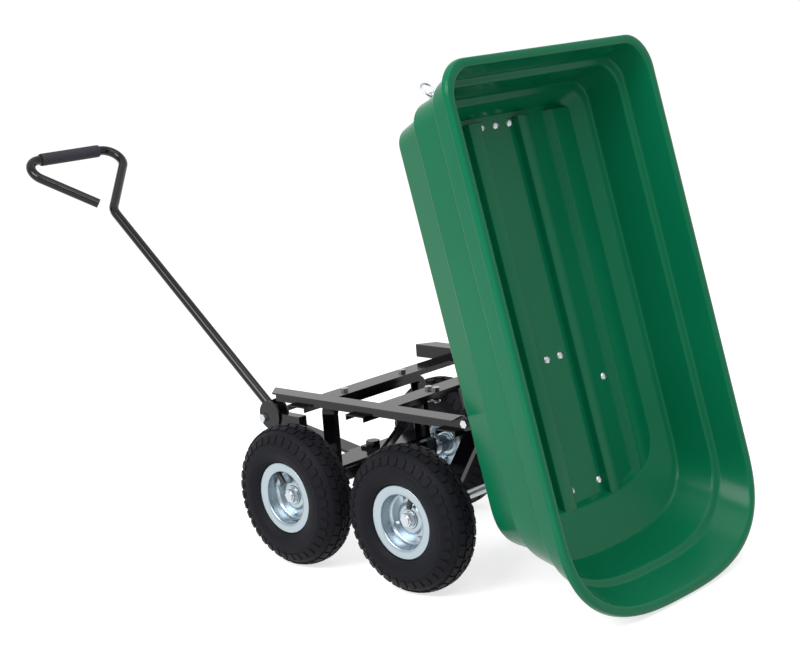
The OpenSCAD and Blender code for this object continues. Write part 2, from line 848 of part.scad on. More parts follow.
// A closed body over a list of rings, the first one capped upwards and the last one downwards
module loft(list) {
    rings = len(list);
    points = [for (g = list) each ring_points(g)];
    walls = [
        for (i = [0:rings - 2], k = [0:ring_n - 1])
            let (n = (k + 1) % ring_n, a = i * ring_n, b = a + ring_n)
                each [[a + k, a + n, b + n], [a + k, b + n, b + k]]
    ];
    floor_in = [for (k = [ring_n - 1:-1:0]) k];
    floor_out = [for (k = [0:ring_n - 1]) (rings - 1) * ring_n + k];
    polyhedron(points = points, faces = concat(walls, [floor_in, floor_out]));
}

floor_top_z = hinge_depth - floor_depth;
rib_sink = tub_wall / 2;

// A bar along the tub's floor between two places s, from a profile in Y and Z on the floor
module along_floor(s0, s1) {
    translate([hinge_s - s1, 0, floor_top_z]) rotate([90, 0, 90]) linear_extrude(s1 - s0) children();
}

module floor_rib() {
    along_floor(rib_head_s, rib_tail_s) polygon([
        [rib_y - rib_w / 2, -rib_sink], [rib_y + rib_w / 2, -rib_sink],
        [rib_y + rib_top_w / 2, rib_h], [rib_y - rib_top_w / 2, rib_h]
    ]);
}

module floor_bench() {
    along_floor(rib_head_s, bench_tail_s) polygon([
        [bench_foot_y, -rib_sink], [half_w, -rib_sink], [half_w, bench_h], [bench_top_y, bench_h]
    ]);
}

// The space over the floor up to the lowest wall's foot, grown halfway into the wall
module floor_space() {
    loft([
        foot_ring(tier_3, 0, rib_sink), floor_ring(floor_depth, rib_sink), floor_ring(floor_depth + rib_sink, rib_sink)
    ]);
}

// Every bolt through the floor: [s, y]
latch_bolts = [-latch_bolt_y, 0, latch_bolt_y];
bearer_seat_z = floor_z - bracket_t;
floor_bolts = concat(
    [for (b = bearer_bolts, side = [-1, 1]) [b[0], side * b[1]]],
    [for (side = [-1, 1]) [bracket_bolt_s, side * bracket_bolt_y]],
    [for (y = latch_bolts) [hinge_s - latch_x - latch_bolt_x, y]]
);

module tub() {
    color(tub_green) tub_frame() resize([0, tub_w, 0]) difference() {
        union() {
            loft(shell_rings);
            intersection() {
                floor_space();
                both_sides() {
                    floor_rib();
                    floor_bench();
                }
            }
        }
        for (b = floor_bolts)
            translate([hinge_s - b[0], b[1], 0]) bolt_hole(small_bolt_d, floor_z, floor_top_z, $fn = 24);
    }
}

module tub_bolts() {
    color(zinc) tub_frame() for (b = floor_bolts)
        translate([hinge_s - b[0], b[1], 0]) dome_bolt(small_bolt_d, floor_top_z, bearer_seat_z);
}

module tub_bearers() {
    half = bearer_w / 2;
    x0 = hinge_s - bearer_tail_s;
    x1 = hinge_s - bearer_head_s;
    color(black_paint) tub_frame() both_sides() translate([0, bearer_y, 0]) difference() {
        block(x0, x1, -half, half, floor_z - bearer_h, floor_z);
        block(x0 - through, x1 + through, -half + bracket_t, half - bracket_t,
              floor_z - bearer_h - through, floor_z - bracket_t);
        for (b = bearer_bolts)
            translate([hinge_s - b[0], b[1] - bearer_y, 0]) bolt_hole(small_bolt_d, floor_z - bracket_t, floor_z);
    }
}

module hinge_brackets() {
    ear_y = bracket_y - bracket_ear_t;
    color(black_paint) tub_frame() both_sides() difference() {
        union() {
            block(-bracket_back, bracket_front, bracket_in_y, bracket_y, floor_z - bracket_t, floor_z);
            translate([0, ear_y, 0]) along_y() cylinder(r = ear_r - gap, h = bracket_ear_t);
            block(-ear_r + gap, bracket_front, ear_y, bracket_y, 0, floor_z);
        }
        translate([0, ear_y - through, 0])
            along_y() cylinder(r = hinge_d / 2 + run, h = bracket_ear_t + 2 * through);
        translate([hinge_s - bracket_bolt_s, bracket_bolt_y, 0])
            bolt_hole(small_bolt_d, floor_z - bracket_t, floor_z);
    }
}

// Latch

latch_ear_in = latch_t / 2 + gap;
latch_ear_out = latch_ear_in + bracket_t;

module latch_bracket() {
    color(black_paint) tub_frame() translate([latch_x, 0, 0]) {
        difference() {
            union() {
                block(-latch_eye_r, latch_plate_front, -latch_plate_w / 2, latch_plate_w / 2, floor_z - bracket_t, floor_z);
                both_sides() {
                    block(-latch_eye_r, latch_eye_r, latch_ear_in, latch_ear_out, -latch_drop, floor_z);
                    translate([0, latch_ear_in, -latch_drop]) along_y() cylinder(r = latch_eye_r, h = bracket_t);
                }
            }
            for (y = latch_bolts)
                translate([latch_bolt_x, y, 0]) bolt_hole(small_bolt_d, floor_z - bracket_t, floor_z);
        }
        translate([0, -latch_ear_out - bracket_t, -latch_drop])
            along_y() cylinder(d = latch_pin_d, h = 2 * (latch_ear_out + bracket_t));
    }
}

// Lever outline in X and Z about its pin, drawn hooked under the front cross bar's lip
lip_x = front_bar_x + bar_w / 2 - hinge_x - latch_x;
lip_z = bar_foot_z - hinge_z + latch_drop;
hook_x = lip_x + hook_gap;
toe_z = lip_z - hook_under;

module lever_outline() {
    arm_half = latch_arm_w / 2;
    circle(r = latch_eye_r);
    polygon([
        [-latch_eye_r + 2, 4], [hook_x, lip_z + 4], [hook_x, toe_z], [hook_x - hook_gap - hook_toe, toe_z],
        [hook_x - hook_gap - hook_toe, toe_z - hook_toe_h / 2], [hook_x, toe_z - hook_toe_h],
        [hook_x + hook_w, toe_z - hook_toe_h], [latch_eye_r - 2, -4]
    ]);
    rotate(-latch_arm_angle) {
        translate([0, -arm_half]) square([latch_arm, latch_arm_w]);
        translate([latch_arm, 0]) circle(r = arm_half);
    }
}

module latch_lever() {
    eye = loop_wire_d / 2 + 0.4;
    color(zinc) latch_frame() across(latch_t) difference() {
        lever_outline();
        circle(d = latch_pin_d + 2 * run);
        rotate(-latch_arm_angle) translate([latch_arm, 0]) circle(r = eye);
    }
}

// Ring of wire through the eye at the arm's end
module latch_loop() {
    color(zinc) latch_frame() rotate([0, latch_arm_angle, 0])
        translate([latch_arm + loop_wire_r, 0, 0])
            rotate_extrude() translate([loop_wire_r, 0]) circle(d = loop_wire_d, $fn = 32);
}

// Wheel pieces, drawn about the axle along Z with the outer side up

// Half of a rim: pressed disc, bead seat and flange
module rim_half() {
    rotate_extrude() polygon([
        [hub_r + seat, dish_h], [disc_foot - 5, dish_h], [disc_foot, 0], [disc_rim, 0], [rim_seat_r, 5],
        [rim_seat_r, flange_z - rim_t], [rim_flange_r, flange_z - rim_t], [rim_flange_r, flange_z],
        [rim_seat_r - rim_t, flange_z], [rim_seat_r - rim_t, 5 + rim_t / 2], [disc_rim - 1, rim_t],
        [disc_foot + 1, rim_t], [disc_foot - 4, dish_h + rim_t], [hub_r + seat, dish_h + rim_t]
    ]);
}

module rim_bolt_holes() {
    for (k = [0:3])
        rotate(45 + 90 * k) translate([rim_bolt_r, 0, 0]) bolt_hole(small_bolt_d, -rim_t, rim_t);
}

module rim_outer() {
    color(zinc) difference() {
        rim_half();
        rim_bolt_holes();
        translate([rim_seat_r - 4, 0, valve_z]) rotate([0, 90, 0]) cylinder(d = valve_d + 2 * hole, h = 8);
    }
}

module rim_inner() {
    color(zinc) difference() {
        mirror([0, 0, 1]) rim_half();
        rim_bolt_holes();
    }
}

module rim_bolts() {
    color(zinc) for (k = [0:3])
        rotate(45 + 90 * k) translate([rim_bolt_r, 0, 0]) bolt(small_bolt_d, rim_t, -rim_t);
}

// Rounded-square section about the tyre's belly, from one side over the crown to the other
function crown(half, rise) = [
    for (a = [0:10:180]) let (c = cos(a), s = sin(a))
        [tyre_belly_r + rise * pow(abs(s), 2 / tyre_power), half * sign(c) * pow(abs(c), 2 / tyre_power)]
];

// Radius of the crown at a distance z from the tyre's middle
function crown_r(z, half) = tyre_belly_r
    + (tyre_r - tyre_belly_r) * pow(1 - pow(abs(z) / half, tyre_power), 1 / tyre_power);

module tyre() {
    bead_z = flange_z - rim_t - bead_gap;
    bead_r = rim_seat_r + bead_gap;
    half = tyre_w / 2;
    inner = half - tyre_wall;
    toe_z = bead_z - tyre_wall;
    over_r = rim_flange_r + bead_gap;
    mid_r = (tyre_belly_r + over_r) / 2;
    color(rubber_black) rotate_extrude() difference() {
        polygon(concat(
        [[bead_r, bead_z], [over_r, bead_z], [over_r + 2, bead_z + 5], [mid_r, half - 3]],
        crown(half, tyre_r - tyre_belly_r),
        [[mid_r, -half + 3], [over_r + 2, -bead_z - 5], [over_r, -bead_z], [bead_r, -bead_z],
         [bead_r, -toe_z], [over_r, -toe_z], [mid_r, -inner + 2]],
        [for (k = [18:-1:0]) crown(inner, tyre_r - tyre_belly_r - tyre_wall)[k]],
        [[mid_r, inner - 2], [over_r, toe_z], [bead_r, toe_z]]
        ));
        for (z = groove_places, side = [-1, 1])
            translate([crown_r(z, half) - groove_h, side * z - groove_w / 2]) square([tyre_wall, groove_w]);
    }
}

module tube_section(shrink) {
    half = tyre_w / 2 - tyre_wall - shrink;
    toe_z = flange_z - rim_t - bead_gap - tyre_wall - shrink;
    foot_r = rim_seat_r + shrink;
    over_r = rim_flange_r + shrink;
    mid_r = (tyre_belly_r + over_r) / 2;
    polygon(concat(
        [[foot_r, toe_z - 3], [over_r, toe_z], [mid_r, half - 2.5]],
        crown(half, tyre_r - tyre_belly_r - tyre_wall - shrink),
        [[mid_r, -half + 2.5], [over_r, -toe_z], [foot_r, -toe_z + 3]]
    ));
}

module inner_tube() {
    color(rubber_black) {
        rotate_extrude() difference() {
            tube_section(tube_gap);
            tube_section(tube_gap + tube_skin);
        }
        translate([valve_tip_r, 0, valve_z])
            rotate([0, 90, 0]) cylinder(d = valve_d, h = rim_seat_r + tube_gap + tube_skin / 2 - valve_tip_r);
    }
}

module hub() {
    bore = bearing_w + seat + through;
    color(zinc) translate([0, 0, hub_out - hub_l]) difference() {
        cylinder(r = hub_r, h = hub_l);
        translate([0, 0, -through]) cylinder(r = axle_r + 3, h = hub_l + 2 * through);
        for (z = [-through, hub_l + through - bore])
            translate([0, 0, z]) cylinder(r = bearing_r + seat, h = bore);
    }
}

module bearings() {
    color(zinc) for (z = [hub_out - hub_l, hub_out - bearing_w])
        ring(axle_r + run, bearing_r, z, z + bearing_w);
}

// Puts a wheel's pieces on its axle end: side is 1 on the left, -1 on the right
module on_axle(side, turn) {
    translate([0, side * wheel_y, tyre_r]) rotate([0, turn, 0]) rotate([-90 * side, 0, 0]) rotate(-90 * side) children();
}

module wheel_piece(piece) {
    if (piece == "tyre") tyre();
    if (piece == "inner_tube") inner_tube();
    if (piece == "rim_outer") rim_outer();
    if (piece == "rim_inner") rim_inner();
    if (piece == "hub") hub();
    if (piece == "bearings") bearings();
    if (piece == "rim_bolts") rim_bolts();
}

wheel_pieces = ["tyre", "inner_tube", "rim_outer", "rim_inner", "hub", "bearings", "rim_bolts"];

module front_wheel(side, piece) {
    front_gear() on_axle(side, front_valve_turn) wheel_piece(piece);
}

module rear_wheel(side, piece) {
    from_rear_axle() on_axle(side, rear_valve_turn) wheel_piece(piece);
}

left_rail();
right_rail();
front_cross_bar();
mid_cross_bar();
rear_cross_bar();
front_arch();
lower_plate();
stay();
rear_arch();
rear_axle();
rear_axle_spacers();
rear_axle_nuts();
frame_bolts();
hinge_bolts();
kingpin();
axle_beam();
front_axle();
front_axle_spacers();
front_axle_nuts();
tongue();
pivot_bolt();
handle_tube();
handle_grip();
handle_cheeks();
tub();
tub_bearers();
hinge_brackets();
tub_bolts();
latch_bracket();
latch_lever();
latch_loop();
for (piece = wheel_pieces) {
    front_wheel(1, piece);
    front_wheel(-1, piece);
    rear_wheel(1, piece);
    rear_wheel(-1, piece);
}
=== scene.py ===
# %% [markdown]
# # A tipping dump cart
# This lesson dresses a finished model of a garden cart. The model arrives as named solids in metres,
# +X forward along the pull handle, +Y to the left and +Z up, standing with its tub tipped back.
# The solids that already have the right shape keep it and get a finish here. The tyres, the moulded
# tub, the pressed rims and the foam grip are made again with softer forms and finer detail.

import json
import math

import bmesh
import bpy
import numpy as np
from mathutils import Matrix, Vector


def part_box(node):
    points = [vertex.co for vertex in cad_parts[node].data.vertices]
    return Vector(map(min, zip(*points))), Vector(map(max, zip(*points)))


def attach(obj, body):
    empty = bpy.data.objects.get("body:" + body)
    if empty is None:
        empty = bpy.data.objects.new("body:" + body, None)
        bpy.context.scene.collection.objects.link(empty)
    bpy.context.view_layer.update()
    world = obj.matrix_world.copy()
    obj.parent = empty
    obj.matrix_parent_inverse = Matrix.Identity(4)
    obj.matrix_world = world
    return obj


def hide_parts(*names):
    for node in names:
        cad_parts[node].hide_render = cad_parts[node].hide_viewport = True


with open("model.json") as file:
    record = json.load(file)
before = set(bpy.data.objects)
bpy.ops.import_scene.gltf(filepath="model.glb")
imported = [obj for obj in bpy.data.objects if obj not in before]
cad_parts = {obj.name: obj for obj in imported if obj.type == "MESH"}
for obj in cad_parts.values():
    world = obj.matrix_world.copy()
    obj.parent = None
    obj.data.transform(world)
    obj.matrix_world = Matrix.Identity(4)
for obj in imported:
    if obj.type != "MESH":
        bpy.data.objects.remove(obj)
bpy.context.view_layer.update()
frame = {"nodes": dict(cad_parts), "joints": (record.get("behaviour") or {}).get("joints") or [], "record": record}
joints = {j["name"]: j for j in frame["joints"]}
MM = 0.001

# %% [markdown]
# The camera comes first, so that every later piece can be judged from the right place. It stands to the
# rear and left of the cart, a little above it, with a long lens and a slight roll. Its direction is
# written as a turn about the upright, a tilt and a roll, and its place is measured from the rear axle.

# %% Camera
IMAGE_W, IMAGE_H = 800, 663
rear_axle = Vector(joints["rear_left_spin"]["pos_m"])
rear_axle.y = 0.0
EYE_FROM_AXLE = Vector((-2.0197, 2.3127, 0.9341))
EYE_TURN, EYE_TILT, EYE_ROLL = (math.radians(a) for a in (-46.397, -11.758, -4.527))
FOCAL_PIXELS = 1789.7
SENSOR_MM = 36.0


def camera_axes(turn, tilt, roll):
    """Forward, right and up of a camera that is turned, tilted and then rolled."""
    forward = Vector((math.cos(tilt) * math.cos(turn), math.cos(tilt) * math.sin(turn), math.sin(tilt)))
    right = forward.cross(Vector((0, 0, 1))).normalized()
    up = right.cross(forward)
    rolled_right = math.cos(roll) * right + math.sin(roll) * up
    rolled_up = math.cos(roll) * up - math.sin(roll) * right
    return forward, rolled_right, rolled_up


def make_camera():
    forward, right, up = camera_axes(EYE_TURN, EYE_TILT, EYE_ROLL)
    data = bpy.data.cameras.new("photo_camera")
    data.sensor_fit = "HORIZONTAL"
    data.sensor_width = SENSOR_MM
    data.lens = FOCAL_PIXELS * SENSOR_MM / IMAGE_W
    data.clip_end = 50.0
    camera = bpy.data.objects.new("photo_camera", data)
    bpy.context.scene.collection.objects.link(camera)
    eye = rear_axle + EYE_FROM_AXLE
    camera.matrix_world = Matrix.Translation(eye) @ Matrix((right, up, -forward)).transposed().to_4x4()
    bpy.context.scene.camera = camera
    return camera


camera = make_camera()
print("camera at", tuple(round(v, 3) for v in camera.matrix_world.translation))

# %% [markdown]
# Shader maths reads best as plain sums. The small class below wraps one output of a node, so that
# `1 - mask * 0.2` adds the Math nodes by itself. Any other node comes from one method that takes the
# node's type, its settings and what goes into its sockets.

# %% A socket that can be used in sums


def socket_key(name):
    """A socket's place from a name such as _0, or else its name with spaces."""
    return int(name[1:]) if name[0] == "_" and name[1:].isdigit() else name.replace("_", " ")


class Wire:
    """An output socket of a material's node tree, usable in Python sums."""

    def __init__(self, tree, socket):
        self.tree = tree
        self.socket = socket

    def _plug(self, target, value):
        if isinstance(value, Wire):
            self.tree.links.new(value.socket, target)
        else:
            target.default_value = value

    def node(self, kind, settings=None, output=0, **sockets):
        """Adds a node, sets its settings first and then its sockets; returns one of its outputs."""
        made = self.tree.nodes.new(kind)
        for name, value in (settings or {}).items():
            setattr(made, name, value)
        for name, value in sockets.items():
            self._plug(made.inputs[socket_key(name)], value)
        return Wire(self.tree, made.outputs[output])

    def _sum(self, operation, a, b):
        return self.node("ShaderNodeMath", {"operation": operation}, _0=a, _1=b)

    def __add__(self, other):
        return self._sum("ADD", self, other)

    __radd__ = __add__

    def __sub__(self, other):
        return self._sum("SUBTRACT", self, other)

    def __rsub__(self, other):
        return self._sum("SUBTRACT", other, self)

    def __mul__(self, other):
        return self._sum("MULTIPLY", self, other)

    __rmul__ = __mul__

    def band(self, low, high):
        """0 below low, 1 above high, smooth between."""
        return self.node(
            "ShaderNodeMapRange", {"interpolation_type": "SMOOTHSTEP"}, Value=self, From_Min=low, From_Max=high
        )


def new_finish(name, colour, roughness, metallic=0.0, specular=0.5):
    """A material with one Principled shader; returns it with its shader and its Object coordinates."""
    material = bpy.data.materials.new(name)
    material.use_nodes = True
    tree = material.node_tree
    shader = tree.nodes["Principled BSDF"]
    shader.inputs["Base Color"].default_value = (*colour, 1)
    shader.inputs["Roughness"].default_value = roughness
    shader.inputs["Metallic"].default_value = metallic
    shader.inputs["Specular IOR Level"].default_value = specular
    place = Wire(tree, tree.nodes.new("ShaderNodeTexCoord").outputs["Object"])
    return material, shader, place


def noise(place, scale, detail=3.0):
    return place.node("ShaderNodeTexNoise", Vector=place, Scale=scale, Detail=detail)


def feed(shader, name, wire):
    wire.tree.links.new(wire.socket, shader.inputs[name])


def bump(shader, height, strength, distance):
    feed(shader, "Normal", height.node("ShaderNodeBump", Height=height, Strength=strength, Distance=distance))


def mottle(shader, place, scale, dark, light):
    """Base colour that drifts between two near tones."""
    mask = noise(place, scale).band(0.35, 0.65)
    mixed = mask.node("ShaderNodeMix", {"data_type": "RGBA"}, output=2, _0=mask, _6=(*dark, 1), _7=(*light, 1))
    feed(shader, "Base Color", mixed)


print("shader helpers ready")

# %% [markdown]
# The finishes. The tub is a satin moulded plastic with a very fine grain. The chassis is black gloss
# powder coat, which mirrors the white room softly. Bolts, axles and rims are bright zinc plate with a cool
# cast. The tyres are dull black rubber, and the grip is foam with small open cells.

# %% Finishes


def make_tub_plastic():
    material, shader, place = new_finish("tub_green_plastic", (0.0015, 0.13, 0.056), 0.3, specular=0.14)
    mottle(shader, place, 3.0, (0.0012, 0.124, 0.053), (0.0018, 0.136, 0.059))
    feed(shader, "Roughness", 0.18 + noise(place, 9.0) * 0.08)
    bump(shader, noise(place, 700.0, 2.0), 0.05, 0.0006)
    return material


def make_black_paint():
    material, shader, place = new_finish("black_powder_coat", (0.003, 0.003, 0.0042), 0.13, specular=0.3)
    feed(shader, "Roughness", 0.09 + noise(place, 30.0) * 0.08)
    bump(shader, noise(place, 420.0, 2.0), 0.02, 0.0006)
    return material


def make_zinc(name, colour, roughness):
    material, shader, place = new_finish(name, colour, roughness, metallic=1.0)
    feed(shader, "Roughness", (roughness - 0.05) + noise(place, 26.0) * 0.12)
    return material


def make_tyre_rubber():
    material, shader, place = new_finish("tyre_rubber", (0.009, 0.0093, 0.012), 0.5, specular=0.07)
    feed(shader, "Roughness", 0.42 + noise(place, 40.0) * 0.18)
    bump(shader, noise(place, 520.0), 0.12, 0.0006)
    return material


def make_grip_foam():
    material, shader, place = new_finish("grip_foam", (0.034, 0.032, 0.042), 0.7, specular=0.25)
    cells = place.node("ShaderNodeTexVoronoi", Vector=place, Scale=900.0)
    bump(shader, cells, 0.25, 0.0008)
    return material


tub_plastic = make_tub_plastic()
black_paint = make_black_paint()
bolt_zinc = make_zinc("bright_zinc", (0.5, 0.53, 0.56), 0.3)
rim_zinc = make_zinc("rim_zinc", (0.36, 0.42, 0.46), 0.28)
tyre_rubber = make_tyre_rubber()
grip_foam = make_grip_foam()
soft_black = new_finish("valve_rubber", (0.012, 0.012, 0.013), 0.45)[0]
SLOT_FINISH = {
    "tub_plastic": tub_plastic,
    "black_paint": black_paint,
    "zinc": bolt_zinc,
    "rim_zinc": rim_zinc,
    "tyre": tyre_rubber,
    "tube_rubber": soft_black,
    "grip_foam": grip_foam,
}


def paint_solids():
    """Each solid takes the finish of its slot in the record."""
    for row in frame["record"]["subparts"]:
        mesh = frame["nodes"][row["node"]].data
        mesh.materials.clear()
        mesh.materials.append(SLOT_FINISH[row["material_slot"]])


paint_solids()
print("finishes:", sorted({m.name for m in SLOT_FINISH.values()}))

# %% [markdown]
# Turned pieces such as tyres, rims and the grip come from one helper: a closed section of radius and height
# is spun about Z into rings of quads. Sharp corners of a section are rounded first, by cutting each
# corner with a short curve, so that pressed metal and moulded rubber catch the light as they should.

# %% Helpers for turned and finished meshes


def rounded(points, cut, steps=4, closed=True):
    """Replaces each corner of a path by a short curve that starts up to cut away from it."""
    points = [np.array(p, float) for p in points]
    count = len(points)
    path = []
    for k, p in enumerate(points):
        if not closed and k in (0, count - 1):
            path.append(p)
            continue
        before, after = points[k - 1], points[(k + 1) % count]
        back = min(cut, 0.45 * np.linalg.norm(p - before))
        ahead = min(cut, 0.45 * np.linalg.norm(after - p))
        a = p + (before - p) * (back / max(np.linalg.norm(before - p), 1e-9))
        b = p + (after - p) * (ahead / max(np.linalg.norm(after - p), 1e-9))
        for t in np.linspace(0, 1, steps + 1):
            path.append((1 - t) ** 2 * a + 2 * t * (1 - t) * p + t * t * b)
    return np.array(path)


def rings_to_mesh(name, rings, close_section):
    """A mesh from equal closed rings of points; close_section also joins the last ring to the first."""
    rings = np.asarray(rings, float)
    rows, around = rings.shape[:2]
    faces = []
    for i in range(rows if close_section else rows - 1):
        here, there = i * around, ((i + 1) % rows) * around
        for k in range(around):
            n = (k + 1) % around
            faces.append((here + k, here + n, there + n, there + k))
    mesh = bpy.data.meshes.new(name)
    mesh.from_pydata(rings.reshape(-1, 3).tolist(), [], faces)
    return mesh


def turned(name, section, around=128):
    """Spins a closed section of (radius, height) about Z."""
    angles = np.arange(around) * (2 * math.pi / around)
    rings = [np.stack([r * np.cos(angles), r * np.sin(angles), np.full(around, h)], 1) for r, h in section]
    return rings_to_mesh(name, rings, True)


def face_outwards(mesh):
    bm = bmesh.new()
    bm.from_mesh(mesh)
    bmesh.ops.remove_doubles(bm, verts=bm.verts, dist=1e-6)
    bmesh.ops.recalc_face_normals(bm, faces=bm.faces)
    bm.to_mesh(mesh)
    bm.free()


def smooth(mesh, sharp_degrees=35.0):
    for face in mesh.polygons:
        face.use_smooth = True
    mesh.set_sharp_from_angle(angle=math.radians(sharp_degrees))


def add_piece(mesh, body, material, slot, *nodes):
    """Puts a finished mesh in the scene as a piece that rides on a body and stands for some solids."""
    piece = bpy.data.objects.new(mesh.name, mesh)
    bpy.context.scene.collection.objects.link(piece)
    mesh.materials.clear()
    mesh.materials.append(material)
    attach(piece, body)
    if nodes:
        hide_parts(*nodes)
    return piece


print("mesh helpers ready")

# %% [markdown]
# Each wheel turns about its own axle line, and the front axle stands slightly turned. A wheel's place
# is one matrix: local Z runs outwards along the axle. Its valve stands on local X, ahead of the top
# on the front wheels and behind it at the rear.

# %% Wheel places
VALVE_TURN = {"front": math.radians(35.0), "rear": math.radians(-20.0)}


def wheel_matrix(end, side):
    joint = joints[f"{end}_{side}_spin"]
    axis = Vector(joint["axis"]).normalized()
    out = axis if side == "left" else -axis
    up = Matrix.Rotation(VALVE_TURN[end], 3, axis) @ Vector((0, 0, 1))
    third = out.cross(up)
    turn = Matrix((up, third, out)).transposed().to_4x4()
    return Matrix.Translation(Vector(joint["pos_m"])) @ turn


WHEELS = {f"{end}_{side}": wheel_matrix(end, side) for end in ("front", "rear") for side in ("left", "right")}
print("wheels:", {k: tuple(round(v, 3) for v in m.translation) for k, m in WHEELS.items()})

# %% [markdown]
# The tyre's carcass is a turned hollow section: two beads on the rim, round side walls with thin moulded
# rings, and a crown. Its crown stands lower than the finished tyre, because the tread blocks are added
# on top. The crown follows a rounded-square curve, which is how a low-pressure cart tyre sits.

# %% Tyre carcass
tyre_low, tyre_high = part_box("rear_left_tyre")
TYRE_R = (tyre_high.z - tyre_low.z) / 2
TYRE_HALF = (tyre_high.y - tyre_low.y) / 2
TREAD_H = 2.5 * MM
BELLY_R = 89.5 * MM
TYRE_WALL = 6.0 * MM
CROWN_POWER = 2.2
BEAD_R, BEAD_Z = 50.4 * MM, 26.6 * MM
FLANGE_R = 65.9 * MM


def crown_radius(z, half, rise):
    return BELLY_R + rise * (1 - min(abs(z) / half, 1.0) ** CROWN_POWER) ** (1 / CROWN_POWER)


def crown_path(half, rise, steps=36):
    angles = np.linspace(0, math.pi, steps + 1)
    side, up = np.cos(angles), np.sin(angles)
    r = BELLY_R + rise * np.abs(up) ** (2 / CROWN_POWER)
    return np.stack([r, half * np.sign(side) * np.abs(side) ** (2 / CROWN_POWER)], 1)


CARCASS_HALF = TYRE_HALF - 1.5 * MM
CARCASS_RISE = TYRE_R - TREAD_H - BELLY_R


def side_rings(path):
    """Lifts thin moulded rings out of the side wall, where its radius passes each ring's place."""
    rings = ((74.0, 0.7), (79.0, 0.5), (97.0, 0.6))
    lifted = path.copy()
    for place, height in rings:
        near = np.exp(-(((path[:, 0] / MM - place) / 1.0) ** 2))
        lifted[:, 1] += np.sign(path[:, 1]) * near * height * MM
    return lifted


def carcass_section():
    lower = np.linspace(0, 1, 24)[1:-1]
    foot_r, foot_z = FLANGE_R + 0.4 * MM, BEAD_Z + 2.0 * MM
    swell = np.sin(lower * math.pi / 2) ** 0.75
    lower_side = np.stack([foot_r + (BELLY_R - foot_r) * lower, foot_z + (CARCASS_HALF - foot_z) * swell], 1)
    over = crown_path(CARCASS_HALF, CARCASS_RISE, 72)
    under = lower_side[::-1] * (1, -1)
    outer = side_rings(np.concatenate([lower_side, over, under]))
    inner_half, inner_rise = CARCASS_HALF - TYRE_WALL, CARCASS_RISE - TYRE_WALL
    inner = crown_path(inner_half, inner_rise, 24)[::-1]
    toe_z = BEAD_Z - TYRE_WALL
    bead = [(BEAD_R, BEAD_Z), (FLANGE_R, BEAD_Z)]
    far_bead = [(FLANGE_R, -BEAD_Z), (BEAD_R, -BEAD_Z), (BEAD_R, -toe_z), (FLANGE_R, -toe_z)]
    near_toe = [(FLANGE_R, toe_z), (BEAD_R, toe_z)]
    return np.concatenate([bead, outer, far_bead, inner, near_toe])


section = carcass_section()
print("tyre carcass section has", len(section), "points; tread height", TREAD_H)

# %% [markdown]
# The tread repeats all round the wheel, so Geometry Nodes set it out. One tree adds one row: a rounded
# rectangle is filled, raised and narrowed a little at its top, and copied onto points on a circle,
# each turned to stand square on the tyre. A tyre stacks the tree once for each row.

# %% Tread row tree
BLOCK_TOP = 0.92


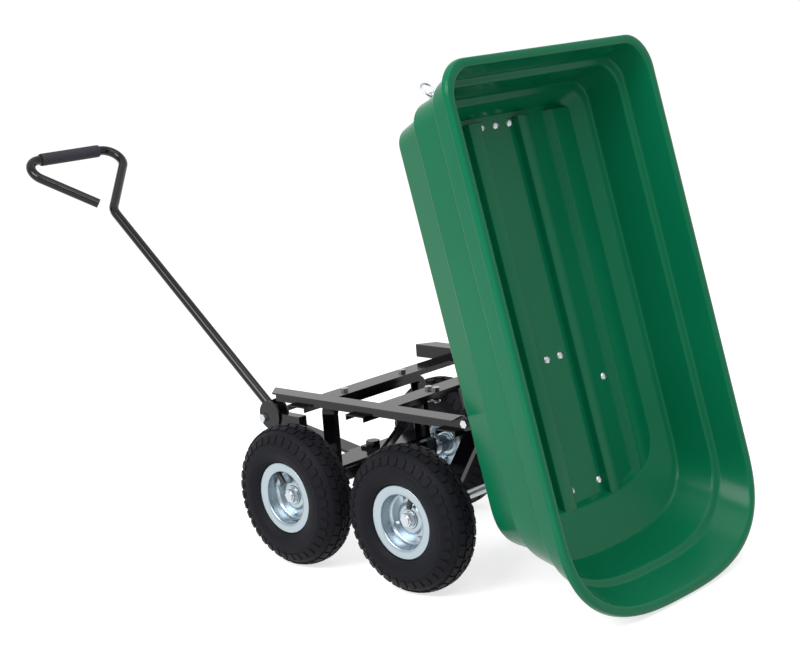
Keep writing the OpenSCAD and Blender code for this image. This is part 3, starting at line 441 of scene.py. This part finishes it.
def tread_row_tree():
    tree = bpy.data.node_groups.new("tread_row", "GeometryNodeTree")
    face = tree.interface
    face.new_socket("Tyre", in_out="OUTPUT", socket_type="NodeSocketGeometry")
    face.new_socket("Tyre", in_out="INPUT", socket_type="NodeSocketGeometry")
    for name, kind in (
        ("Blocks", "NodeSocketInt"), ("Radius", "NodeSocketFloat"), ("Offset", "NodeSocketFloat"),
        ("Tilt", "NodeSocketFloat"), ("Phase", "NodeSocketFloat"), ("Length", "NodeSocketFloat"),
        ("Width", "NodeSocketFloat"), ("Height", "NodeSocketFloat"), ("Corner", "NodeSocketFloat"),
        ("Rubber", "NodeSocketMaterial"),
    ):
        face.new_socket(name, in_out="INPUT", socket_type=kind)
    nodes, links = tree.nodes, tree.links
    given = nodes.new("NodeGroupInput").outputs

    def put(kind, settings=None, **sockets):
        made = nodes.new(kind)
        for name, value in (settings or {}).items():
            setattr(made, name, value)
        for name, value in sockets.items():
            target = made.inputs[socket_key(name)]
            if hasattr(value, "is_output"):
                links.new(value, target)
            else:
                target.default_value = value
        return made

    def maths(operation, a, b=0.0):
        return put("ShaderNodeMath", {"operation": operation}, _0=a, _1=b).outputs[0]

    index = put("GeometryNodeInputIndex").outputs[0]
    step = maths("DIVIDE", 2 * math.pi, given["Blocks"])
    angle = maths("MULTIPLY", maths("ADD", index, given["Phase"]), step)
    across = maths("MULTIPLY", maths("COSINE", angle), given["Radius"])
    along = maths("MULTIPLY", maths("SINE", angle), given["Radius"])
    place = put("ShaderNodeCombineXYZ", X=across, Y=along, Z=given["Offset"]).outputs[0]
    points = put("GeometryNodePoints", Count=given["Blocks"], Position=place).outputs[0]
    lean = maths("SUBTRACT", math.pi / 2, given["Tilt"])
    facing = put("ShaderNodeCombineXYZ", X=lean, Y=0.0, Z=maths("ADD", angle, math.pi / 2)).outputs[0]
    outline = put(
        "GeometryNodeCurvePrimitiveQuadrilateral", {"mode": "RECTANGLE"},
        Width=given["Length"], Height=given["Width"],
    ).outputs[0]
    soft = put(
        "GeometryNodeFilletCurve", {"mode": "POLY"}, Curve=outline, Count=3, Radius=given["Corner"]
    ).outputs[0]
    sole = put("GeometryNodeFillCurve", {"mode": "NGONS"}, Curve=soft).outputs[0]
    upward = put("ShaderNodeCombineXYZ", X=0.0, Y=0.0, Z=1.0).outputs[0]
    raised = put(
        "GeometryNodeExtrudeMesh", {"mode": "FACES"}, Mesh=sole, Offset=upward, Offset_Scale=given["Height"]
    )
    block = put(
        "GeometryNodeScaleElements", {"domain": "FACE"}, Geometry=raised.outputs["Mesh"],
        Selection=raised.outputs["Top"], Scale=BLOCK_TOP,
    ).outputs[0]
    copies = put("GeometryNodeInstanceOnPoints", Points=points, Instance=block, Rotation=facing).outputs[0]
    joined = nodes.new("GeometryNodeJoinGeometry")
    links.new(copies, joined.inputs[0])
    links.new(given["Tyre"], joined.inputs[0])
    real = put("GeometryNodeRealizeInstances", Geometry=joined.outputs[0]).outputs[0]
    rubbered = put("GeometryNodeSetMaterial", Geometry=real, Material=given["Rubber"]).outputs[0]
    links.new(rubbered, nodes.new("NodeGroupOutput").inputs["Tyre"])
    return tree


row_tree = tread_row_tree()
ROW_INPUTS = {s.name: s.identifier for s in row_tree.interface.items_tree if s.in_out == "INPUT"}
print("tread row inputs:", sorted(ROW_INPUTS))

# %% [markdown]
# Seen from the side, a row of rounded squares runs round each shoulder, and staggered blocks cross the
# crown. The table gives each row's distance from the middle of the tyre and the size of its blocks. The lean
# of a row is worked out from the slope of the crown where it stands.

# %% Tyres
BLOCKS = 36
SINK_IN = 2.5
TREAD_ROWS = (
    # distance from the middle, length round the tyre, width across it, height, corner, phase
    (33.8, 15.0, 17.5, 1.5, 4.0, 0.0),
    (15.2, 19.0, 11.5, 2.4, 2.5, 0.5),
    (3.3, 19.0, 6.2, 2.4, 1.5, 0.0),
)


def carcass_radius(z):
    return crown_radius(z, CARCASS_HALF, CARCASS_RISE)


def row_lean(z):
    """Slope of the crown at a distance from its middle, measured over a short step."""
    step = 0.4 * MM
    return math.atan2(carcass_radius(z - step) - carcass_radius(z + step), 2 * step)


def set_row(modifier, values):
    for name, value in values.items():
        modifier[ROW_INPUTS[name]] = value


def tyre_mesh():
    base = turned("tyre_carcass", section, 192)
    blank = bpy.data.objects.new("tyre_blank", base)
    bpy.context.scene.collection.objects.link(blank)
    for place, length, width, height, corner, phase in TREAD_ROWS:
        for side in (1, -1):
            z = place * MM
            lean = row_lean(z)
            row = blank.modifiers.new(f"row_{place}_{side}", "NODES")
            row.node_group = row_tree
            set_row(row, {
                "Blocks": BLOCKS,
                "Radius": carcass_radius(z) - SINK_IN * MM * math.cos(lean),
                "Offset": side * (z - SINK_IN * MM * math.sin(lean)),
                "Tilt": side * lean,
                "Phase": phase if side > 0 else phase + 0.25,
                "Length": length * MM,
                "Width": width * MM,
                "Height": (height + SINK_IN) * MM,
                "Corner": corner * MM,
                "Rubber": tyre_rubber,
            })
    bpy.context.view_layer.update()
    ready = blank.evaluated_get(bpy.context.evaluated_depsgraph_get())
    mesh = bpy.data.meshes.new_from_object(ready)
    bpy.data.objects.remove(blank)
    face_outwards(mesh)
    return mesh


def make_tyres():
    made = tyre_mesh()
    for wheel, place in WHEELS.items():
        mesh = made.copy()
        mesh.name = f"{wheel}_tread_tyre"
        mesh.transform(place)
        smooth(mesh, 30.0)
        add_piece(mesh, f"{wheel}_wheel", tyre_rubber, "tyre", f"{wheel}_tyre")
    return made


tyre = make_tyres()
reach = max(math.hypot(v.co.x, v.co.y) for v in tyre.vertices)
print("tyre faces:", len(tyre.polygons), "outer radius", round(reach, 4), "solid", round(TYRE_R, 4))

# %% [markdown]
# Each rim is two pressed zinc halves. From outside one sees a broad rolled flange, a deep cup and a flat
# disc with a raised ring round the hub. The section below is the outer half; the inner half is its
# mirror. Rounding the section's corners gives the soft highlights of pressed sheet.

# %% Rims
RIM_CORNER = 2.2
RIM_OUT = (
    # radius and height, from the hub along the inner face to the flange and back along the outer face
    (17.1, 4.0), (23.0, 4.0), (28.0, 0.05), (45.5, 0.05), (50.0, 6.0), (50.0, 25.5),
    (54.5, 27.0), (63.5, 27.2), (65.5, 28.2), (64.0, 29.2), (53.5, 29.0), (48.0, 27.0),
    (48.0, 7.0), (44.6, 2.05), (29.0, 2.05), (24.0, 6.0), (17.1, 6.0),
)


def make_rims():
    section = rounded([(r * MM, z * MM) for r, z in RIM_OUT], RIM_CORNER * MM, 4)
    for wheel, place in WHEELS.items():
        for half, flip in (("outer", 1.0), ("inner", -1.0)):
            mesh = turned(f"{wheel}_pressed_rim_{half}", section * (1, flip), 128)
            face_outwards(mesh)
            mesh.transform(place)
            smooth(mesh, 40.0)
            add_piece(mesh, f"{wheel}_wheel", rim_zinc, "rim_zinc", f"{wheel}_rim_{half}")
    return section


rim_section = make_rims()
print("rim section points:", len(rim_section))

# %% [markdown]
# The tub is the largest piece. It is a loft of level outlines from the floor up the inner wall, over the
# rolled rim and down the outside again. Each outline has round head corners and a tail bowed like an
# ellipse. The walls rise in three tiers with a ledge between. A base skirt stands down from the lower ledge
# to the rails, round the floor, and every corner of the profile is softened.

# %% Tub outline
TUB_L, TUB_HALF, TUB_DEPTH, TUB_WALL = 930.0, 271.0, 157.0, 4.0
HINGE_S, FLOOR_OVER_HINGE, TIP = 565.0, 52.2, math.radians(76.5)
HINGE_DEPTH = TUB_DEPTH + FLOOR_OVER_HINGE
ROLL_W, ROLL_H, ROLL_LIP = 16.0, 14.0, 3.5
TIER_FOOT = (54.0, 122.0, 141.0)
LEDGE_DROP, FLOOR_FILLET, TUB_CORNER = 3.0, 8.0, 5.0
DRAFT = np.array((-9.0, 11.0, -34.0))
LEDGE = np.array((-12.0, 12.0, -12.0))
FOOT = np.array((-24.0, 12.0, -66.0))
GROW = np.array((1.0, -1.0, 1.0))
HEAD_R, HEAD_SHRINK = 60.0, 0.4
BASE_DEPTH, BASE_HALF, BASE_HEAD, BASE_TAIL = 196.0, 197.0, 16.0, 20.0
TAIL_BOW, BOW_SHRINK, TAIL_POWER = 195.0, 1.2, 2.8
RIM_EDGE = np.array((TUB_HALF, 0.0, TUB_L))


def level(depth, edge):
    return np.array((depth, *edge))


def tier_edge(tier, lean, grow):
    """Half width, head and tail of the wall of a tier, lean 0 at its top and 1 at its foot."""
    wall = FOOT if tier == 2 else DRAFT
    return RIM_EDGE - ROLL_W * GROW + tier * (DRAFT + LEDGE) + lean * wall + grow * GROW


def wall_profile(grow):
    """Levels from the floor up to the rim, along the inner or the outer face of the wall."""
    floor = TUB_DEPTH - TUB_WALL + grow
    levels = [level(floor, tier_edge(2, 1, grow) - FLOOR_FILLET * GROW)]
    for tier in (2, 1, 0):
        top = TIER_FOOT[tier - 1] + LEDGE_DROP + grow if tier else 0.0
        levels.append(level(TIER_FOOT[tier] + grow, tier_edge(tier, 1, grow)))
        if tier:
            levels.append(level(top, tier_edge(tier, 0, grow)))
    return levels


def tub_profile():
    """Levels of the whole skin: inner wall, rolled rim, outer wall with the base skirt, and the underside."""
    inner = wall_profile(0.0)
    outer = wall_profile(TUB_WALL)[::-1]
    under = tier_edge(2, 0, TUB_WALL)
    base = np.array((BASE_HALF, under[1] + BASE_HEAD, under[2] - BASE_TAIL))
    below_ledge = TIER_FOOT[1] + LEDGE_DROP + 2 * TUB_WALL
    outer[4:4] = [
        level(BASE_DEPTH, base), level(BASE_DEPTH, base - TUB_WALL * GROW),
        level(below_ledge, tier_edge(2, 0, -TUB_WALL / 2)),
    ]
    rim = [
        level(1.5, tier_edge(0, 0, 0.0) + 0.5 * GROW), level(-0.0, RIM_EDGE - 9.0 * GROW),
        level(1.5, RIM_EDGE - 1.0 * GROW), level(ROLL_H, RIM_EDGE), level(ROLL_H, RIM_EDGE - ROLL_LIP * GROW),
        level(ROLL_LIP + 2.0, RIM_EDGE - ROLL_LIP * GROW), level(ROLL_LIP + 2.0, tier_edge(0, 0, TUB_WALL)),
    ]
    return rounded(inner + rim + outer, TUB_CORNER, 5, closed=False)


def outline(edge, head_steps=14, tail_steps=56):
    """One closed outline (s, y): from the middle of the head down the left side round the tail and back."""
    half, head, tail = edge
    c = HEAD_R - HEAD_SHRINK * (TUB_HALF - half)
    b = TAIL_BOW - BOW_SHRINK * (TUB_HALF - half)
    a = np.linspace(0, math.pi / 2, head_steps + 1)
    corner = np.stack([head + c * (1 - np.cos(a)), half - c * (1 - np.sin(a))], 1)
    a = np.linspace(0, math.pi / 2, tail_steps + 1)
    across, along = np.abs(np.cos(a)) ** (2 / TAIL_POWER), np.sin(a) ** (2 / TAIL_POWER)
    bow = np.stack([tail - b * (1 - along), half * across], 1)
    side = np.linspace(corner[-1], bow[0], 14)[1:-1]
    left = np.concatenate([corner, side, bow])
    return np.concatenate([left, left[-2::-1] * (1, -1)])


hinge = Vector(joints["tub_tip"]["pos_m"])
TUB_PLACE = Matrix.Translation(hinge) @ Matrix.Rotation(-TIP, 4, "Y")


def tub_points(s, y, depth):
    """Points measured along the tub, across it and down from its rim, in metres from the hinge, tub lowered."""
    return np.stack([(HINGE_S - s) * MM, y * MM, np.broadcast_to((HINGE_DEPTH - depth) * MM, np.shape(s))], -1)


profile = tub_profile()
print("tub profile levels:", len(profile))

# %% [markdown]
# The floor carries two raised ribs and a bench along each side. They are bars with sloping sides, softened
# with a bevel and joined to the shell by a Boolean, so that the tub stays one closed skin.

# %% Tub
FLOOR_DEPTH = TUB_DEPTH - TUB_WALL
RIB_Y, RIB_FOOT, RIB_TOP, RIB_H = 64.0, 18.0, 16.0, 12.0
RIB_S, BENCH_S = (90.0, 756.0), (90.0, 736.0)
BENCH_FOOT, BENCH_TOP, BENCH_H = 129.0, 141.0, 12.0
SINK = 2.0


def floor_bar(name, section, s_range):
    """A bar along the floor from a section of (y, height over the floor)."""
    ring = [(y, FLOOR_DEPTH - h) for y, h in section]
    rows = []
    for s in s_range:
        y = np.array([p[0] for p in ring])
        d = np.array([p[1] for p in ring])
        rows.append(tub_points(np.full(len(ring), s), y, d))
    mesh = rings_to_mesh(name, rows, False)
    bm = bmesh.new()
    bm.from_mesh(mesh)
    bmesh.ops.holes_fill(bm, edges=bm.edges)
    bmesh.ops.recalc_face_normals(bm, faces=bm.faces)
    upper = [e for e in bm.edges if min(v.co.z for v in e.verts) > (HINGE_DEPTH - FLOOR_DEPTH + 3.0) * MM]
    bmesh.ops.bevel(bm, geom=upper, offset=2.0 * MM, segments=3, profile=0.5, affect="EDGES")
    bm.to_mesh(mesh)
    bm.free()
    return mesh


def floor_bars():
    bars = []
    for side in (1, -1):
        rib = (
            (RIB_Y - RIB_FOOT, -SINK), (RIB_Y + RIB_FOOT, -SINK),
            (RIB_Y + RIB_TOP, RIB_H), (RIB_Y - RIB_TOP, RIB_H),
        )
        bench = ((BENCH_FOOT, -SINK), (TUB_HALF, -SINK), (TUB_HALF, BENCH_H), (BENCH_TOP, BENCH_H))
        bars.append(floor_bar(f"rib_{side}", [(side * y, h) for y, h in rib], RIB_S))
        bars.append(floor_bar(f"bench_{side}", [(side * y, h) for y, h in bench], BENCH_S))
    return bars


def lofted(name, levels):
    """A closed mesh over a list of levels, with both ends filled."""
    rings = []
    for depth, half, head, tail in levels:
        loop = outline((half, head, tail))
        rings.append(tub_points(loop[:, 0], loop[:, 1], depth))
    mesh = rings_to_mesh(name, rings, False)
    bm = bmesh.new()
    bm.from_mesh(mesh)
    bmesh.ops.holes_fill(bm, edges=bm.edges)
    bmesh.ops.recalc_face_normals(bm, faces=bm.faces)
    bm.to_mesh(mesh)
    bm.free()
    return mesh


def floor_space():
    """The room over the floor, grown halfway into the wall, that the bars are trimmed to."""
    floor = tier_edge(2, 1, SINK) - FLOOR_FILLET * GROW
    return lofted("floor_space", [
        level(TIER_FOOT[2] - 2.0, tier_edge(2, 0.875, SINK)), level(TIER_FOOT[2], tier_edge(2, 1, SINK)),
        level(FLOOR_DEPTH, floor), level(FLOOR_DEPTH + 1.5, floor),
    ])


def combined(mesh, others, operation):
    """A closed mesh joined with or trimmed to some others by Booleans."""
    blank = bpy.data.objects.new("union_blank", mesh)
    bpy.context.scene.collection.objects.link(blank)
    helpers = []
    for other in others:
        helper = bpy.data.objects.new(other.name, other)
        bpy.context.scene.collection.objects.link(helper)
        helpers.append(helper)
        union = blank.modifiers.new(other.name, "BOOLEAN")
        union.operation = operation
        union.solver = "EXACT"
        union.object = helper
    bpy.context.view_layer.update()
    result = bpy.data.meshes.new_from_object(blank.evaluated_get(bpy.context.evaluated_depsgraph_get()))
    for o in (blank, *helpers):
        bpy.data.objects.remove(o)
    return result


def make_tub():
    space = floor_space()
    bars = [combined(bar, [space.copy()], "INTERSECT") for bar in floor_bars()]
    mesh = combined(lofted("tub_shell", profile), bars, "UNION")
    mesh.name = "moulded_tub"
    mesh.transform(TUB_PLACE)
    smooth(mesh, 28.0)
    return add_piece(mesh, "tub", tub_plastic, "tub_plastic", "tub")


tub = make_tub()
print("tub faces:", len(tub.data.polygons))

# %% [markdown]
# The grip is a sleeve of foam over the handle's cross bar, rounded at both ends. A turned section with well
# rounded corners is enough; the foam's cells are in its finish.

# %% Grip
GRIP_T, TUBE_OFFSET, HANDLE_RISE = 784.0, 20.0, math.radians(39.0)
GRIP_HALF, GRIP_R, GRIP_BORE = 75.0, 13.5, 10.05


def make_grip():
    pivot = joints["handle_swing"]
    axis = Vector(pivot["axis"]).normalized()
    forward = axis.cross(Vector((0, 0, 1))).normalized()
    along = math.cos(HANDLE_RISE) * forward + math.sin(HANDLE_RISE) * Vector((0, 0, 1))
    above = axis.cross(along) * -1
    place = Matrix((above, along, axis)).transposed().to_4x4()
    place.translation = Vector(pivot["pos_m"]) + GRIP_T * MM * along + TUBE_OFFSET * MM * above
    corners = [(GRIP_BORE, -GRIP_HALF), (GRIP_R, -GRIP_HALF), (GRIP_R, GRIP_HALF), (GRIP_BORE, GRIP_HALF)]
    section = rounded([(r * MM, z * MM) for r, z in corners], 3.0 * MM, 5)
    mesh = turned("foam_grip", section, 64)
    mesh.transform(place)
    face_outwards(mesh)
    smooth(mesh, 50.0)
    return add_piece(mesh, "handle", grip_foam, "grip_foam", "handle_grip")


grip = make_grip()
grip_low, grip_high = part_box("handle_grip")
print("grip spans", [round(max(v.co[k] for v in grip.data.vertices), 3) for k in range(3)], tuple(grip_high))

# %% [markdown]
# The stage is a pale floor under soft studio light. The room is white to the camera and in reflections. A
# broad lamp stands high on the left, a weaker one over the tub and a narrow strip behind it, so the black
# paint shows long pale reflections and the wheels stand on a faint shadow.

# %% Floor, lamps and room
FLOOR_REACH, FLOOR_DROP, FLOOR_GLOW = 30.0, 0.0005, 0.7
ROOM_LIGHT = 0.5
LAMPS = (
    # name, place, aim, size, power in watts
    ("left_softbox", (-0.2, 3.6, 3.4), (-0.3, 0, 0.3), (3.0, 2.4), 190.0),
    ("top_softbox", (-1.6, 0.2, 4.0), (-0.4, 0, 0.2), (2.6, 2.6), 35.0),
    ("strip_light", (-2.4, 1.6, 2.6), (-0.6, 0, 0.5), (1.8, 0.2), 22.0),
)


def make_floor():
    mesh = bpy.data.meshes.new("floor")
    corners = [(x * FLOOR_REACH, y * FLOOR_REACH, 0) for x, y in ((-1, -1), (1, -1), (1, 1), (-1, 1))]
    mesh.from_pydata(corners, [], [(0, 1, 2, 3)])
    floor = bpy.data.objects.new("floor", mesh)
    floor.location.z = -FLOOR_DROP
    bpy.context.scene.collection.objects.link(floor)
    material, shader, place = new_finish("pale_floor", (0.65, 0.65, 0.65), 0.9, specular=0.0)
    seen = light_seen(place)
    tree = material.node_tree
    glow = place.node("ShaderNodeEmission", Strength=FLOOR_GLOW)
    mixed = place.node("ShaderNodeAddShader", _0=Wire(tree, shader.outputs[0]), _1=glow)
    chosen = place.node("ShaderNodeMixShader", _0=seen, _1=Wire(tree, shader.outputs[0]), _2=mixed)
    tree.links.new(chosen.socket, tree.nodes["Material Output"].inputs["Surface"])
    mesh.materials.append(material)
    return floor


def light_seen(wire):
    """1 for rays from the camera, and for mirrored and see-through ones."""
    path = wire.tree.nodes.new("ShaderNodeLightPath")
    rays = [Wire(wire.tree, path.outputs[n]) for n in ("Is Camera Ray", "Is Glossy Ray", "Is Transmission Ray")]
    total = rays[0] + rays[1] + rays[2]
    return total.node("ShaderNodeClamp", Value=total)


def make_room():
    world = bpy.data.worlds.new("white_room")
    bpy.context.scene.world = world
    world.use_nodes = True
    tree = world.node_tree
    back = tree.nodes["Background"]
    back.inputs["Color"].default_value = (1, 1, 1, 1)
    seen = light_seen(Wire(tree, back.outputs[0]))
    strength = ROOM_LIGHT + seen * (1.0 - ROOM_LIGHT)
    tree.links.new(strength.socket, back.inputs["Strength"])
    return world


def make_lamp(name, place, aim, size, power):
    data = bpy.data.lights.new(name, "AREA")
    data.shape = "RECTANGLE"
    data.size, data.size_y = size
    data.energy = power
    lamp = bpy.data.objects.new(name, data)
    bpy.context.scene.collection.objects.link(lamp)
    lamp.location = place
    lamp.rotation_euler = (Vector(aim) - Vector(place)).to_track_quat("-Z", "Y").to_euler()
    return lamp


floor = make_floor()
room = make_room()
for lamp in LAMPS:
    make_lamp(*lamp)
bpy.context.scene.view_settings.view_transform = "Standard"
print("stage ready")
